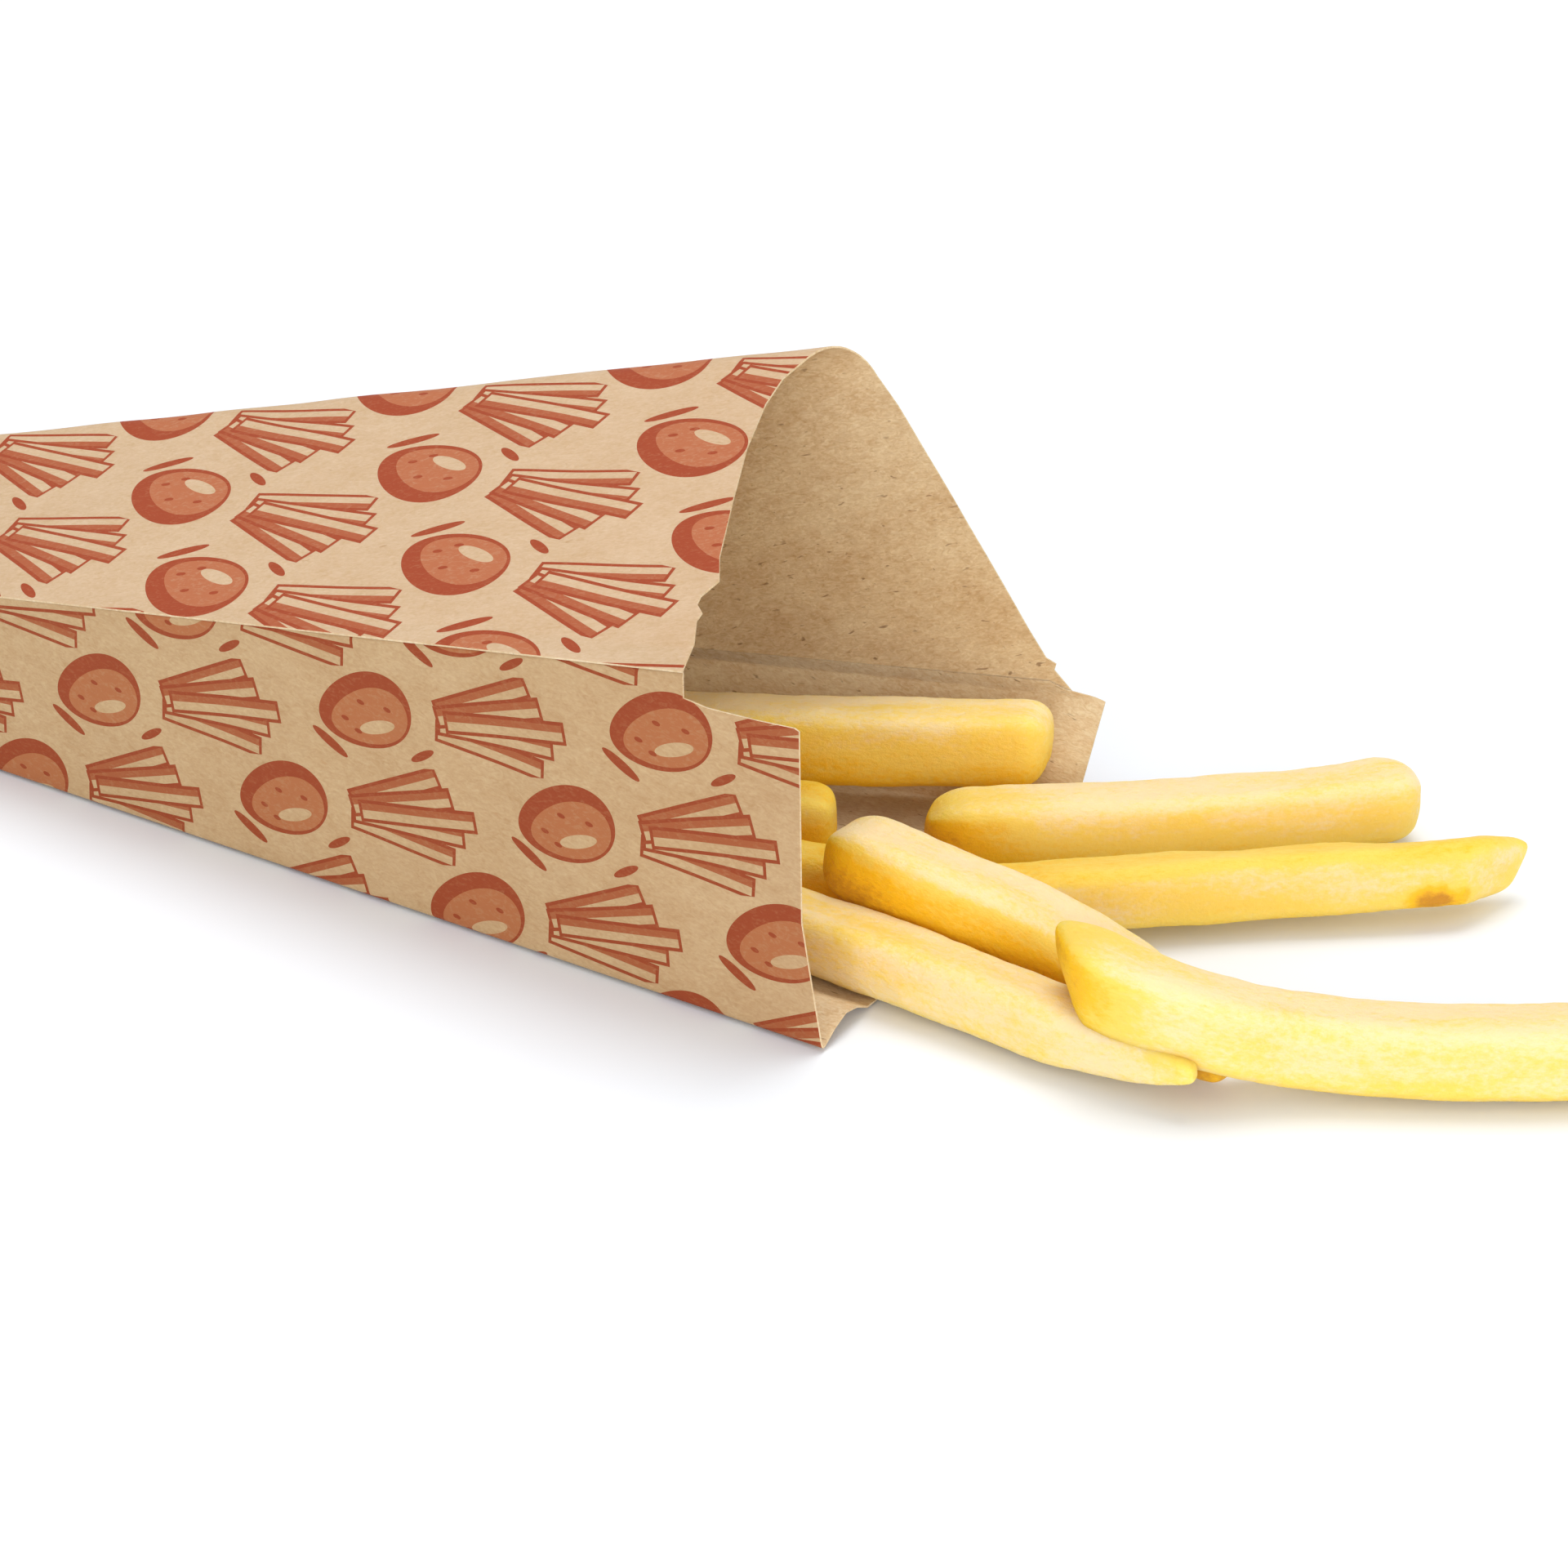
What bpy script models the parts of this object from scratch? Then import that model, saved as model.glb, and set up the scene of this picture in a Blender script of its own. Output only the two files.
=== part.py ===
"""French fries spilling from a pointed kraft paper cone that lies on its side.

The cone is a bag of two paper sheets glued along both sides and opened out: the back sheet makes the
near wall, the floor and a low far wall, and the front sheet makes the top and the far wall.
It lies along X with its point at -X and its mouth at +X, and the bench is the plane z = 0.
"""
import math

import bmesh
import bpy
from mathutils import Vector
from mathutils.geometry import interpolate_bezier

# The cone, in metres. Its corners are given at the mouth as (y, z), and shrink towards the point.
CONE_LENGTH = 0.250
MOUTH_X = 0.080
PAPER_WALL = 0.0004
NEAR_FLOOR = Vector((-0.0300, 0.0000))
FAR_FLOOR = Vector((0.0300, 0.0000))
FAR_SEAM = Vector((0.0394, 0.0115))
RIDGE = Vector((0.0390, 0.0604))
NEAR_CREASE = Vector((-0.0300, 0.0405))
RIDGE_RADIUS = 0.0060
RIDGE_STEPS = 4

# How far each part of the mouth's edge lies behind the mouth's plane.
NEAR_SEAM_SETBACK = 0.0170
DEEPEST_SETBACK = 0.0331
DEEPEST_SHARE = 0.51
FAR_SEAM_SETBACK = 0.0039
FAR_EDGE_BEND = 1.15
NEAR_CORNER_SETBACK = 0.0029
NEAR_EDGE_BEND_HEIGHT = 0.37
NEAR_EDGE_BEND_SETBACK = 0.0025
SEAM_WRAP = 0.07
CORNER_DROP = 0.11
FAR_SEAM_SHARE = 0.97
PANEL_STEPS = 6
FLOOR_STEPS = 3

# Where the folded point closes the wall, as a share of the length from the lines' meeting point.
TIP_SHARE = 0.08

# Each fry has the route of its middle line measured from the mouth, then its width and its height.
CLEARANCE = 0.0003
CORNER_SHARE = 0.26
END_SHARE = 0.70
FRY_STATIONS = 7
TOP_FAR = ((-0.050, 0.0110, 0.0079), (-0.026, 0.0205, 0.0083), (-0.0030, 0.0307, 0.0088))
FAR_OUTSIDE = ((-0.0095, 0.0125, 0.0042), (0.0130, 0.0270, 0.0042), (0.0348, 0.0460, 0.0042))
BROWNED_END = ((0.0, -0.0035, 0.0037), (0.0230, 0.0143, 0.0036), (0.0498, 0.0340, 0.0037))
SLOPING = ((-0.0106, -0.0075, 0.0108), (0.0140, -0.0092, 0.0073), (0.0401, -0.0196, 0.0039))
NEAR_MOUTH = ((-0.0244, -0.0129, 0.0038), (0.0080, -0.0176, 0.0036), (0.0386, -0.0239, 0.0050))
STUB_FAR = ((-0.046, 0.0040, 0.0035), (-0.033, 0.0076, 0.0035), (-0.020, 0.0114, 0.0035))
STUB_NEAR = ((-0.040, -0.0060, 0.0040), (-0.026, -0.0045, 0.0040), (-0.0105, -0.0020, 0.0040))
LONG_CURVED_START = ((0.0215, -0.0200, 0.0110), (0.0400, -0.0180, 0.0070))
LONG_CURVED_END = ((0.0606, -0.0074, 0.0045), (0.0800, 0.0045, 0.0044))
INNER_NEAR = ((-0.118, -0.0060, 0.0045), (-0.088, -0.0085, 0.0045), (-0.058, -0.0120, 0.0045))
INNER_MIDDLE = ((-0.124, 0.0030, 0.0045), (-0.092, 0.0010, 0.0046), (-0.050, 0.0010, 0.0046))
INNER_FAR = ((-0.108, 0.0105, 0.0050), (-0.076, 0.0120, 0.0050), (-0.040, 0.0135, 0.0048))
UPPER_NEAR = ((-0.128, 0.0010, 0.0112), (-0.100, -0.0040, 0.0120), (-0.066, -0.0080, 0.0118))
UPPER_FAR = ((-0.112, 0.0080, 0.0122), (-0.084, 0.0075, 0.0124), (-0.052, 0.0100, 0.0118))
FRIES = {
    "inner_near": (INNER_NEAR, 0.0076, 0.0072),
    "inner_middle": (INNER_MIDDLE, 0.0076, 0.0076),
    "inner_far": (INNER_FAR, 0.0074, 0.0076),
    "upper_near": (UPPER_NEAR, 0.0074, 0.0074),
    "upper_far": (UPPER_FAR, 0.0074, 0.0074),
    "top_far": (TOP_FAR, 0.0080, 0.0086),
    "far_outside": (FAR_OUTSIDE, 0.0080, 0.0080),
    "browned_end": (BROWNED_END, 0.0070, 0.0070),
    "sloping": (SLOPING, 0.0084, 0.0086),
    "near_mouth": (NEAR_MOUTH, 0.0072, 0.0070),
    "stub_far": (STUB_FAR, 0.0064, 0.0064),
    "stub_near": (STUB_NEAR, 0.0064, 0.0064),
    "long_curved": (LONG_CURVED_START + LONG_CURVED_END, 0.0082, 0.0082),
}

# The low middle of the heap, which fills the gaps between the fries that lie inside the cone.
CORE_BACK_X = -0.122
CORE_FRONT_X = -0.004
CORE_TOP_Z = 0.0052
CORE_FLOOR_SHARE = 0.86

KRAFT_COLOUR = (0.60, 0.43, 0.24, 1.0)
FRY_COLOUR = (0.95, 0.68, 0.19, 1.0)


def clear_scene():
    for thing in list(bpy.context.scene.objects):
        bpy.data.objects.remove(thing, do_unlink=True)


def new_collection(name):
    collection = bpy.data.collections.new(name)
    bpy.context.scene.collection.children.link(collection)
    return collection


def new_material(name, colour, roughness):
    material = bpy.data.materials.new(name)
    material.use_nodes = True
    surface = material.node_tree.nodes["Principled BSDF"]
    surface.inputs["Base Color"].default_value = colour
    surface.inputs["Roughness"].default_value = roughness
    surface.inputs["Metallic"].default_value = 0.0
    return material


def new_object(name, mesh, collection, material):
    thing = bpy.data.objects.new(name, mesh)
    collection.objects.link(thing)
    mesh.materials.append(material)
    return thing


def hide_as_guide(thing):
    thing.hide_render = True
    thing.display_type = "WIRE"


def front_sheet_setback(share):
    """How far the front sheet's edge lies back, from the near seam (0) over the ridge to the far seam (1)."""
    if share < DEEPEST_SHARE:
        rise = math.sin(math.pi / 2 * share / DEEPEST_SHARE)
        return NEAR_SEAM_SETBACK + (DEEPEST_SETBACK - NEAR_SEAM_SETBACK) * rise
    fall = ((share - DEEPEST_SHARE) / (1 - DEEPEST_SHARE)) ** FAR_EDGE_BEND
    return DEEPEST_SETBACK + (FAR_SEAM_SETBACK - DEEPEST_SETBACK) * fall


def ridge_arc():
    """Points of the round fold between the top and the far wall."""
    to_near = (NEAR_CREASE - RIDGE).normalized()
    to_far = (FAR_SEAM - RIDGE).normalized()
    half_angle = to_near.angle(to_far) / 2
    centre = RIDGE + (to_near + to_far).normalized() * RIDGE_RADIUS / math.sin(half_angle)
    first = (RIDGE + to_near * RIDGE_RADIUS / math.tan(half_angle) - centre).normalized()
    last = (RIDGE + to_far * RIDGE_RADIUS / math.tan(half_angle) - centre).normalized()
    return [centre + first.slerp(last, step / RIDGE_STEPS) * RIDGE_RADIUS for step in range(RIDGE_STEPS + 1)]


def front_sheet_columns():
    """(corner, setback) of each column of the front sheet, from the near crease to the far seam."""
    arc = ridge_arc()
    top_width = (arc[0] - NEAR_CREASE).length
    far_width = (FAR_SEAM - arc[-1]).length
    arc_width = sum((b - a).length for a, b in zip(arc, arc[1:]))
    full_width = top_width + arc_width + far_width
    columns = []
    for step in range(PANEL_STEPS):
        share = step / PANEL_STEPS
        columns.append((NEAR_CREASE.lerp(arc[0], share), share * top_width / full_width))
    for step, point in enumerate(arc):
        columns.append((point, (top_width + arc_width * step / RIDGE_STEPS) / full_width))
    for step in range(1, PANEL_STEPS):
        share = FAR_SEAM_SHARE * step / (PANEL_STEPS - 1)
        width = top_width + arc_width + share * far_width
        columns.append((arc[-1].lerp(FAR_SEAM, share), width / full_width))
    return [(point, front_sheet_setback(share)) for point, share in columns]


def back_sheet_columns():
    """(corner, setback) of each column of the back sheet, from the far seam to the near seam."""
    columns = [(FAR_SEAM, 0.0)]
    for step in range(FLOOR_STEPS + 1):
        columns.append((FAR_FLOOR.lerp(NEAR_FLOOR, step / FLOOR_STEPS), 0.0))
    columns.append((NEAR_FLOOR.lerp(NEAR_CREASE, NEAR_EDGE_BEND_HEIGHT), NEAR_EDGE_BEND_SETBACK))
    columns.append((NEAR_FLOOR.lerp(NEAR_CREASE, 1 - CORNER_DROP), NEAR_CORNER_SETBACK))
    columns.append((NEAR_FLOOR.lerp(NEAR_CREASE, 1 - SEAM_WRAP), NEAR_SEAM_SETBACK))
    return columns


def cone_point(corner, share, lift=0.0):
    """The point at a share of the length from the cone's tip, on the line through a mouth corner."""
    x = MOUTH_X - CONE_LENGTH * (1 - share)
    return Vector((x, corner.x * share, corner.y * share + lift))


def cone_surface(name, reach=0.0):
    """The open surface of the paper, whose mouth reaches further out by the given length."""
    shell = bmesh.new()
    columns = front_sheet_columns() + back_sheet_columns()
    mouth = []
    tip = []
    for corner, setback in columns:
        mouth.append(shell.verts.new(cone_point(corner, 1 + (reach - setback) / CONE_LENGTH)))
        tip.append(shell.verts.new(cone_point(corner, TIP_SHARE)))
    for index in range(len(columns)):
        after = (index + 1) % len(columns)
        shell.faces.new((mouth[index], mouth[after], tip[after], tip[index]))
    shell.faces.new(tip)
    bmesh.ops.recalc_face_normals(shell, faces=shell.faces)
    mesh = bpy.data.meshes.new(name)
    shell.to_mesh(mesh)
    shell.free()
    return mesh


def add_solidify(thing, thickness, offset):
    wall = thing.modifiers.new("wall", "SOLIDIFY")
    wall.thickness = thickness
    wall.offset = offset
    wall.use_even_offset = True


def build_paper_cone(collection, material):
    cone = new_object("paper_cone", cone_surface("paper_cone"), collection, material)
    add_solidify(cone, PAPER_WALL, -1.0)
    return cone


def build_paper_room(collection, material):
    """The room that the paper takes up, with the clearance round it, which is cut from the heap."""
    room = new_object("paper_room", cone_surface("paper_room", CLEARANCE), collection, material)
    add_solidify(room, PAPER_WALL + 2 * CLEARANCE, -PAPER_WALL / (PAPER_WALL + 2 * CLEARANCE))
    hide_as_guide(room)
    return room


def smooth_route(route):
    """Evenly spread points along a smooth curve through the route's own points."""
    points = [Vector(point) + Vector((MOUTH_X, 0, 0)) for point in route]
    leads = [(after - before) / 6 for before, after in zip(points[:-2], points[2:])]
    leads = [(points[1] - points[0]) / 3] + leads + [(points[-1] - points[-2]) / 3]
    line = []
    for start, end, lead_out, lead_in in zip(points, points[1:], leads, leads[1:]):
        line += interpolate_bezier(start, start + lead_out, end - lead_in, end, FRY_STATIONS)[:-1]
    return line + [points[-1]]


def straight_bar(last, width, height):
    """A bar with rounded edges, whose stations lie 1 / last apart from x = 0 to 1."""
    bar = bmesh.new()
    bmesh.ops.create_cube(bar, size=1.0)
    bmesh.ops.translate(bar, verts=bar.verts, vec=(0.5, 0, 0))
    for station in range(1, last):
        everything = bar.verts[:] + bar.edges[:] + bar.faces[:]
        bmesh.ops.bisect_plane(bar, geom=everything, plane_co=(station / last, 0, 0), plane_no=(1, 0, 0))
    bmesh.ops.scale(bar, verts=bar.verts, vec=(1, width, height))
    half_step = 0.5 / last
    lengthwise = [edge for edge in bar.edges if abs(edge.verts[0].co.x - edge.verts[1].co.x) > half_step]
    offset = CORNER_SHARE * min(width, height)
    bmesh.ops.bevel(bar, geom=lengthwise, offset=offset, segments=2, affect="EDGES", profile=0.5)
    return bar


def fry_bar(name, route, width, height, collection, material):
    """A fry as a bar with rounded edges and narrower ends, bent along its route."""
    line = smooth_route(route)
    last = len(line) - 1
    bar = straight_bar(last, width, height)
    for vert in bar.verts:
        station = round(vert.co.x * last)
        along = (line[min(station + 1, last)] - line[max(station - 1, 0)]).normalized()
        side = Vector((0, 0, 1)).cross(along).normalized()
        size = END_SHARE if station in (0, last) else 1.0
        vert.co = line[station] + (side * vert.co.y + along.cross(side) * vert.co.z) * size
    bmesh.ops.recalc_face_normals(bar, faces=bar.faces)
    mesh = bpy.data.meshes.new(name)
    bar.to_mesh(mesh)
    bar.free()
    guide = new_object(name, mesh, collection, material)
    hide_as_guide(guide)
    return guide


def heap_core(collection, material):
    """A low wedge between the walls, as long as the part of the heap that lies inside the cone."""
    wedge = bmesh.new()
    rings = []
    for x in (CORE_BACK_X, CORE_FRONT_X):
        share = 1 + x / CONE_LENGTH
        near = NEAR_FLOOR * CORE_FLOOR_SHARE
        far = FAR_FLOOR * CORE_FLOOR_SHARE
        corners = [cone_point(near, share), cone_point(far, share)]
        corners += [cone_point(far, share, lift=CORE_TOP_Z), cone_point(near, share, lift=CORE_TOP_Z)]
        rings.append([wedge.verts.new(corner) for corner in corners])
    for index in range(4):
        after = (index + 1) % 4
        wedge.faces.new((rings[0][index], rings[0][after], rings[1][after], rings[1][index]))
    wedge.faces.new(rings[0])
    wedge.faces.new(rings[1])
    bmesh.ops.recalc_face_normals(wedge, faces=wedge.faces)
    mesh = bpy.data.meshes.new("fries")
    wedge.to_mesh(mesh)
    wedge.free()
    return new_object("fries", mesh, collection, material)


def add_boolean(thing, other, operation):
    join = thing.modifiers.new(operation.lower() + "_" + other.name, "BOOLEAN")
    join.operation = operation
    join.object = other


def build_fries(collection, cutters, material, paper_room):
    heap = heap_core(collection, material)
    for name, (route, width, height) in FRIES.items():
        add_boolean(heap, fry_bar(name, route, width, height, cutters, material), "UNION")
    add_boolean(heap, paper_room, "DIFFERENCE")
    return heap


def main():
    clear_scene()
    collection = new_collection("french_fries_in_a_cone")
    cutters = new_collection("cutters")
    kraft = new_material("kraft_paper", KRAFT_COLOUR, 0.85)
    potato = new_material("fried_potato", FRY_COLOUR, 0.55)
    build_paper_cone(collection, kraft)
    room = build_paper_room(cutters, kraft)
    build_fries(collection, cutters, potato, room)


main()
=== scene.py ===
# %% [markdown]
# # French fries spilling from a kraft paper cone
#
# The real thing is a flat pointed bag, opened out and laid on its side. Two sheets of brown kraft
# paper are glued along both long edges. The back sheet makes the near wall, the floor and a low far
# wall, and the front sheet makes the top and the far wall, with a scooped edge at the mouth.
# The fries are thick-cut sticks of potato. This lesson folds the two sheets, bends each fry along
# its own route, and then gives the paper and the potato their surfaces.

import math

import bpy
import numpy as np
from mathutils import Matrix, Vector, noise


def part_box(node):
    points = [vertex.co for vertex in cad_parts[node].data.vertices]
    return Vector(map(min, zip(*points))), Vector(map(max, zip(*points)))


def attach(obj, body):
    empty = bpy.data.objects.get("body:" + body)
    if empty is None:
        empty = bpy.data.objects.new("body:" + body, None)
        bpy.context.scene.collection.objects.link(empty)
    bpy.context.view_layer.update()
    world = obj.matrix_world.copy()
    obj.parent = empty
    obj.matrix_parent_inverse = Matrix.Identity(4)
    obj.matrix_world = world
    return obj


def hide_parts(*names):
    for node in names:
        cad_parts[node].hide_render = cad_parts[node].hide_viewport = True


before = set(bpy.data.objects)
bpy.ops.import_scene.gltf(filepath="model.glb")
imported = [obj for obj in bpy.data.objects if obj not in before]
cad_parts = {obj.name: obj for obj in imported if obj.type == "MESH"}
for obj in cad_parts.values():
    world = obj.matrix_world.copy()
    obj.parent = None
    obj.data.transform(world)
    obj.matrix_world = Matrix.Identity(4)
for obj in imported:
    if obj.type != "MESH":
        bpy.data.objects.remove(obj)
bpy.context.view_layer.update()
paper_low, paper_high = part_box("paper_cone")
print("paper cone from", [round(v, 4) for v in paper_low], "to", [round(v, 4) for v in paper_high])

# %% [markdown]
# ## Camera
#
# The camera looks down on the mouth of the cone from the right, far enough away for gentle
# perspective. The near half of the cone runs out of the picture on the left, so the fries are large.

# %% Camera
MM = 0.001
LENS_MM = 100.0
CAMERA_AZIMUTH = math.radians(28.3)
CAMERA_ELEVATION = math.radians(25.58)
CAMERA_DISTANCE = 0.498
MOUTH_X = 0.080
LOOK_AT = Vector((MOUTH_X - 0.0331, 0.0234, 0.0))


def direction(azimuth, elevation):
    """The unit vector from the middle of the scene towards a place on the sky."""
    level = math.cos(elevation)
    return Vector((math.sin(azimuth) * level, -math.cos(azimuth) * level, math.sin(elevation)))


back = direction(CAMERA_AZIMUTH, CAMERA_ELEVATION)
bpy.ops.object.camera_add(location=LOOK_AT + back * CAMERA_DISTANCE)
camera = bpy.context.object
camera.rotation_euler = back.to_track_quat("Z", "Y").to_euler()
camera.data.lens = LENS_MM
camera.data.sensor_width = 36.0
camera.data.clip_start = 0.01
bpy.context.scene.camera = camera
print("camera at", [round(v, 3) for v in camera.location])

# %% [markdown]
# ## Tools for modelling
#
# An operator acts on everything that is selected, so each step starts with an empty selection.
# A modifier is applied as soon as its shape is right, so that every piece ends as a plain mesh.

# %% Helpers for objects
def select_only(thing):
    """Makes one object the only selected one, and the active one."""
    bpy.ops.object.select_all(action="DESELECT")
    thing.select_set(True)
    bpy.context.view_layer.objects.active = thing


def apply_modifier(thing, kind, **settings):
    """Adds a modifier with its settings, and applies it at once."""
    select_only(thing)
    modifier = thing.modifiers.new(kind.lower(), kind)
    for name, value in settings.items():
        setattr(modifier, name, value)
    bpy.ops.object.modifier_apply(modifier=modifier.name)


def points_of(thing):
    """The mesh's points as a table with a row for each point."""
    table = np.empty(len(thing.data.vertices) * 3)
    thing.data.vertices.foreach_get("co", table)
    return table.reshape(-1, 3)


def move_points(thing, table):
    thing.data.vertices.foreach_set("co", np.asarray(table, dtype=float).ravel())
    thing.data.update()


# %% [markdown]
# ## The mouth of the cone
#
# Across the mouth the paper has five folds. Every fold runs from its corner straight to the tip, so
# the corners at the mouth give the whole cone. Paper bends but never stretches, so lengths measured
# along these lines are lengths of paper.

# %% Corners at the mouth, as (y, z)
CONE_LENGTH = 0.250
TIP_SHARE = 0.08
NEAR_FLOOR = Vector((-0.0300, 0.0000))
FAR_FLOOR = Vector((0.0300, 0.0000))
FAR_SEAM = Vector((0.0394, 0.0115))
RIDGE = Vector((0.0390, 0.0604))
NEAR_CREASE = Vector((-0.0300, 0.0405))
RIDGE_RADIUS = 6.0 * MM
CREASE_RADIUS = 0.7 * MM
PAPER_THICKNESS = 0.22 * MM
NEAR_HEM = 4.0 * MM
FAR_HEM = 1.6 * MM


def rounded(corners, radius, steps):
    """Replaces the inner corners of a line with arcs."""
    line = [corners[0]]
    for before, corner, after in zip(corners, corners[1:], corners[2:]):
        to_before = (before - corner).normalized()
        to_after = (after - corner).normalized()
        half_angle = to_before.angle(to_after) / 2
        reach = radius / math.tan(half_angle)
        centre = corner + (to_before + to_after).normalized() * radius / math.sin(half_angle)
        first = (corner + to_before * reach - centre).normalized()
        last = (corner + to_after * reach - centre).normalized()
        line += [centre + first.slerp(last, step / steps) * radius for step in range(steps + 1)]
    return line + [corners[-1]]


def paper_widths(line):
    """The width of paper from the start of a line to each of its points."""
    steps = [(b - a).length for a, b in zip(line, line[1:])]
    return np.concatenate([[0.0], np.cumsum(steps)])


def with_columns(line, edge, gap):
    """Adds points to a line: one at each width that its edge names, and more where they are far apart."""
    widths = paper_widths(line)
    stops = sorted({*widths.round(6), *[width * MM for width, setback in edge if width * MM < widths[-1]]})
    full = [stops[0]]
    for start, end in zip(stops, stops[1:]):
        if end - start < 0.1 * MM:
            continue
        pieces = math.ceil((end - start) / gap)
        full += [start + (end - start) * step / pieces for step in range(1, pieces + 1)]
    corners = np.array([(point.x, point.y) for point in line])
    placed = np.column_stack([np.interp(full, widths, corners[:, axis]) for axis in (0, 1)])
    return [Vector(place) for place in placed]


# %% [markdown]
# ## The mouth's edges
#
# The sheets aren't cut square. The front sheet has a scoop in its edge, so it stands further back
# at the ridge, and its edge is torn a little beside the near seam. The back sheet reaches out
# further than the front one, and its corner at the near seam hangs free. Each edge is given as a
# line of (width of paper, distance behind the mouth), in millimetres.

# %% Edges
FRONT_EDGE = [(0, 17), (5, 18.2), (9, 20.0), (10.5, 20.1), (12, 21.5), (13.5, 21.8), (16.5, 21.1), (21, 23.3)]
FRONT_EDGE += [(32, 27.0), (43, 30.4), (53, 32.6), (59, 33.1), (64, 32.0), (70, 29.8), (75, 27.4)]
FRONT_EDGE += [(79, 25.0), (95, 16.6), (108, 9.5), (111.5, 7.4), (112.2, 6.2), (113, 6.4), (115.9, 3.9)]
BACK_EDGE = [(0, 19), (4, 17), (6.8, 17), (7.6, 14), (8.2, 8), (8.5, 3.4), (8.8, 2.9), (30, 2.5)]
BACK_EDGE += [(36, 1.4), (44, 0), (75, 0), (104, 0), (118.0, 0.2), (118.5, 1.6), (119.1, 5), (120.3, 7.5)]


def setbacks(edge, line):
    """How far behind the mouth each column of a sheet ends."""
    widths, distances = np.array(edge, dtype=float).T * MM
    return np.interp(paper_widths(line), widths, distances)


# The back sheet's hems lie inside the front sheet, so they sit a paper's thickness further in.
inward_near = Vector((0.30, -1.0)).normalized() * PAPER_THICKNESS * 1.3
inward_far = Vector((-1.0, 0.0)) * PAPER_THICKNESS * 1.3
near_fold = NEAR_CREASE + inward_near
far_fold = FAR_SEAM + inward_far
near_hem = near_fold + (RIDGE - NEAR_CREASE).normalized() * NEAR_HEM
far_hem = far_fold + (RIDGE - FAR_SEAM).normalized() * FAR_HEM
front_line = with_columns(rounded([NEAR_CREASE, RIDGE, FAR_SEAM], RIDGE_RADIUS, 10), FRONT_EDGE, 2.5 * MM)
back_corners = [near_hem, near_fold, NEAR_FLOOR, FAR_FLOOR, far_fold, far_hem]
back_line = with_columns(rounded(back_corners, CREASE_RADIUS, 3), BACK_EDGE, 2.5 * MM)
print("front sheet", round(paper_widths(front_line)[-1] / MM, 1), "mm wide at the mouth")
print("back sheet", round(paper_widths(back_line)[-1] / MM, 1), "mm wide at the mouth")

# %% [markdown]
# ## Folding a sheet
#
# A sheet starts as a flat grid, with one row of points for each step from the tip to the mouth, and
# one column for each point of the line across the mouth. Every column is laid along its own ray
# from the tip, which is exactly how flat paper folds into a cone. The flat layout of the sheet is
# kept in its UV map, in metres, so that the print and the fibres stay as they are on flat paper.
# Solidify then gives the paper its thickness, with the bare side as a second material.

# %% Sheet tools
ROWS = 90
ARCH_HEIGHT = 1.8 * MM
PRESSED_HEIGHT = 0.16
PRESSED_END = 0.20


def waves(places, size, seed):
    """Smooth unevenness between about -1 and 1, whose bumps are as far apart as the size."""
    return np.array([noise.noise(Vector(place) / size + Vector((seed, seed * 1.7, 3.1))) for place in places])


def between(values, low, high, soft):
    """1 well between the two values, falling smoothly to 0 at them."""
    share = np.clip(np.minimum(values - low, high - values) / soft, 0, 1)
    return share * share * (3 - 2 * share)


def slack(corners, widths, places, seed):
    """How far the paper bulges outwards and upwards at each point, since it isn't quite tight."""
    y, z = corners.T
    near_wall = between(z, 0.0, NEAR_CREASE.y, 10 * MM) * (y < NEAR_FLOOR.x + 0.1 * MM)
    roof = between(widths, 0.0, widths[-1], 12 * MM) * (z > NEAR_CREASE.y)
    pulls = waves(places * np.array([1.0, 0.35, 0.35]), 14 * MM, seed)
    arch = between(y, NEAR_FLOOR.x, NEAR_FLOOR.x + 11 * MM, 5 * MM) * (z < 0.1 * MM)
    return 0.35 * MM * (near_wall + roof) * pulls, ARCH_HEIGHT * arch


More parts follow.
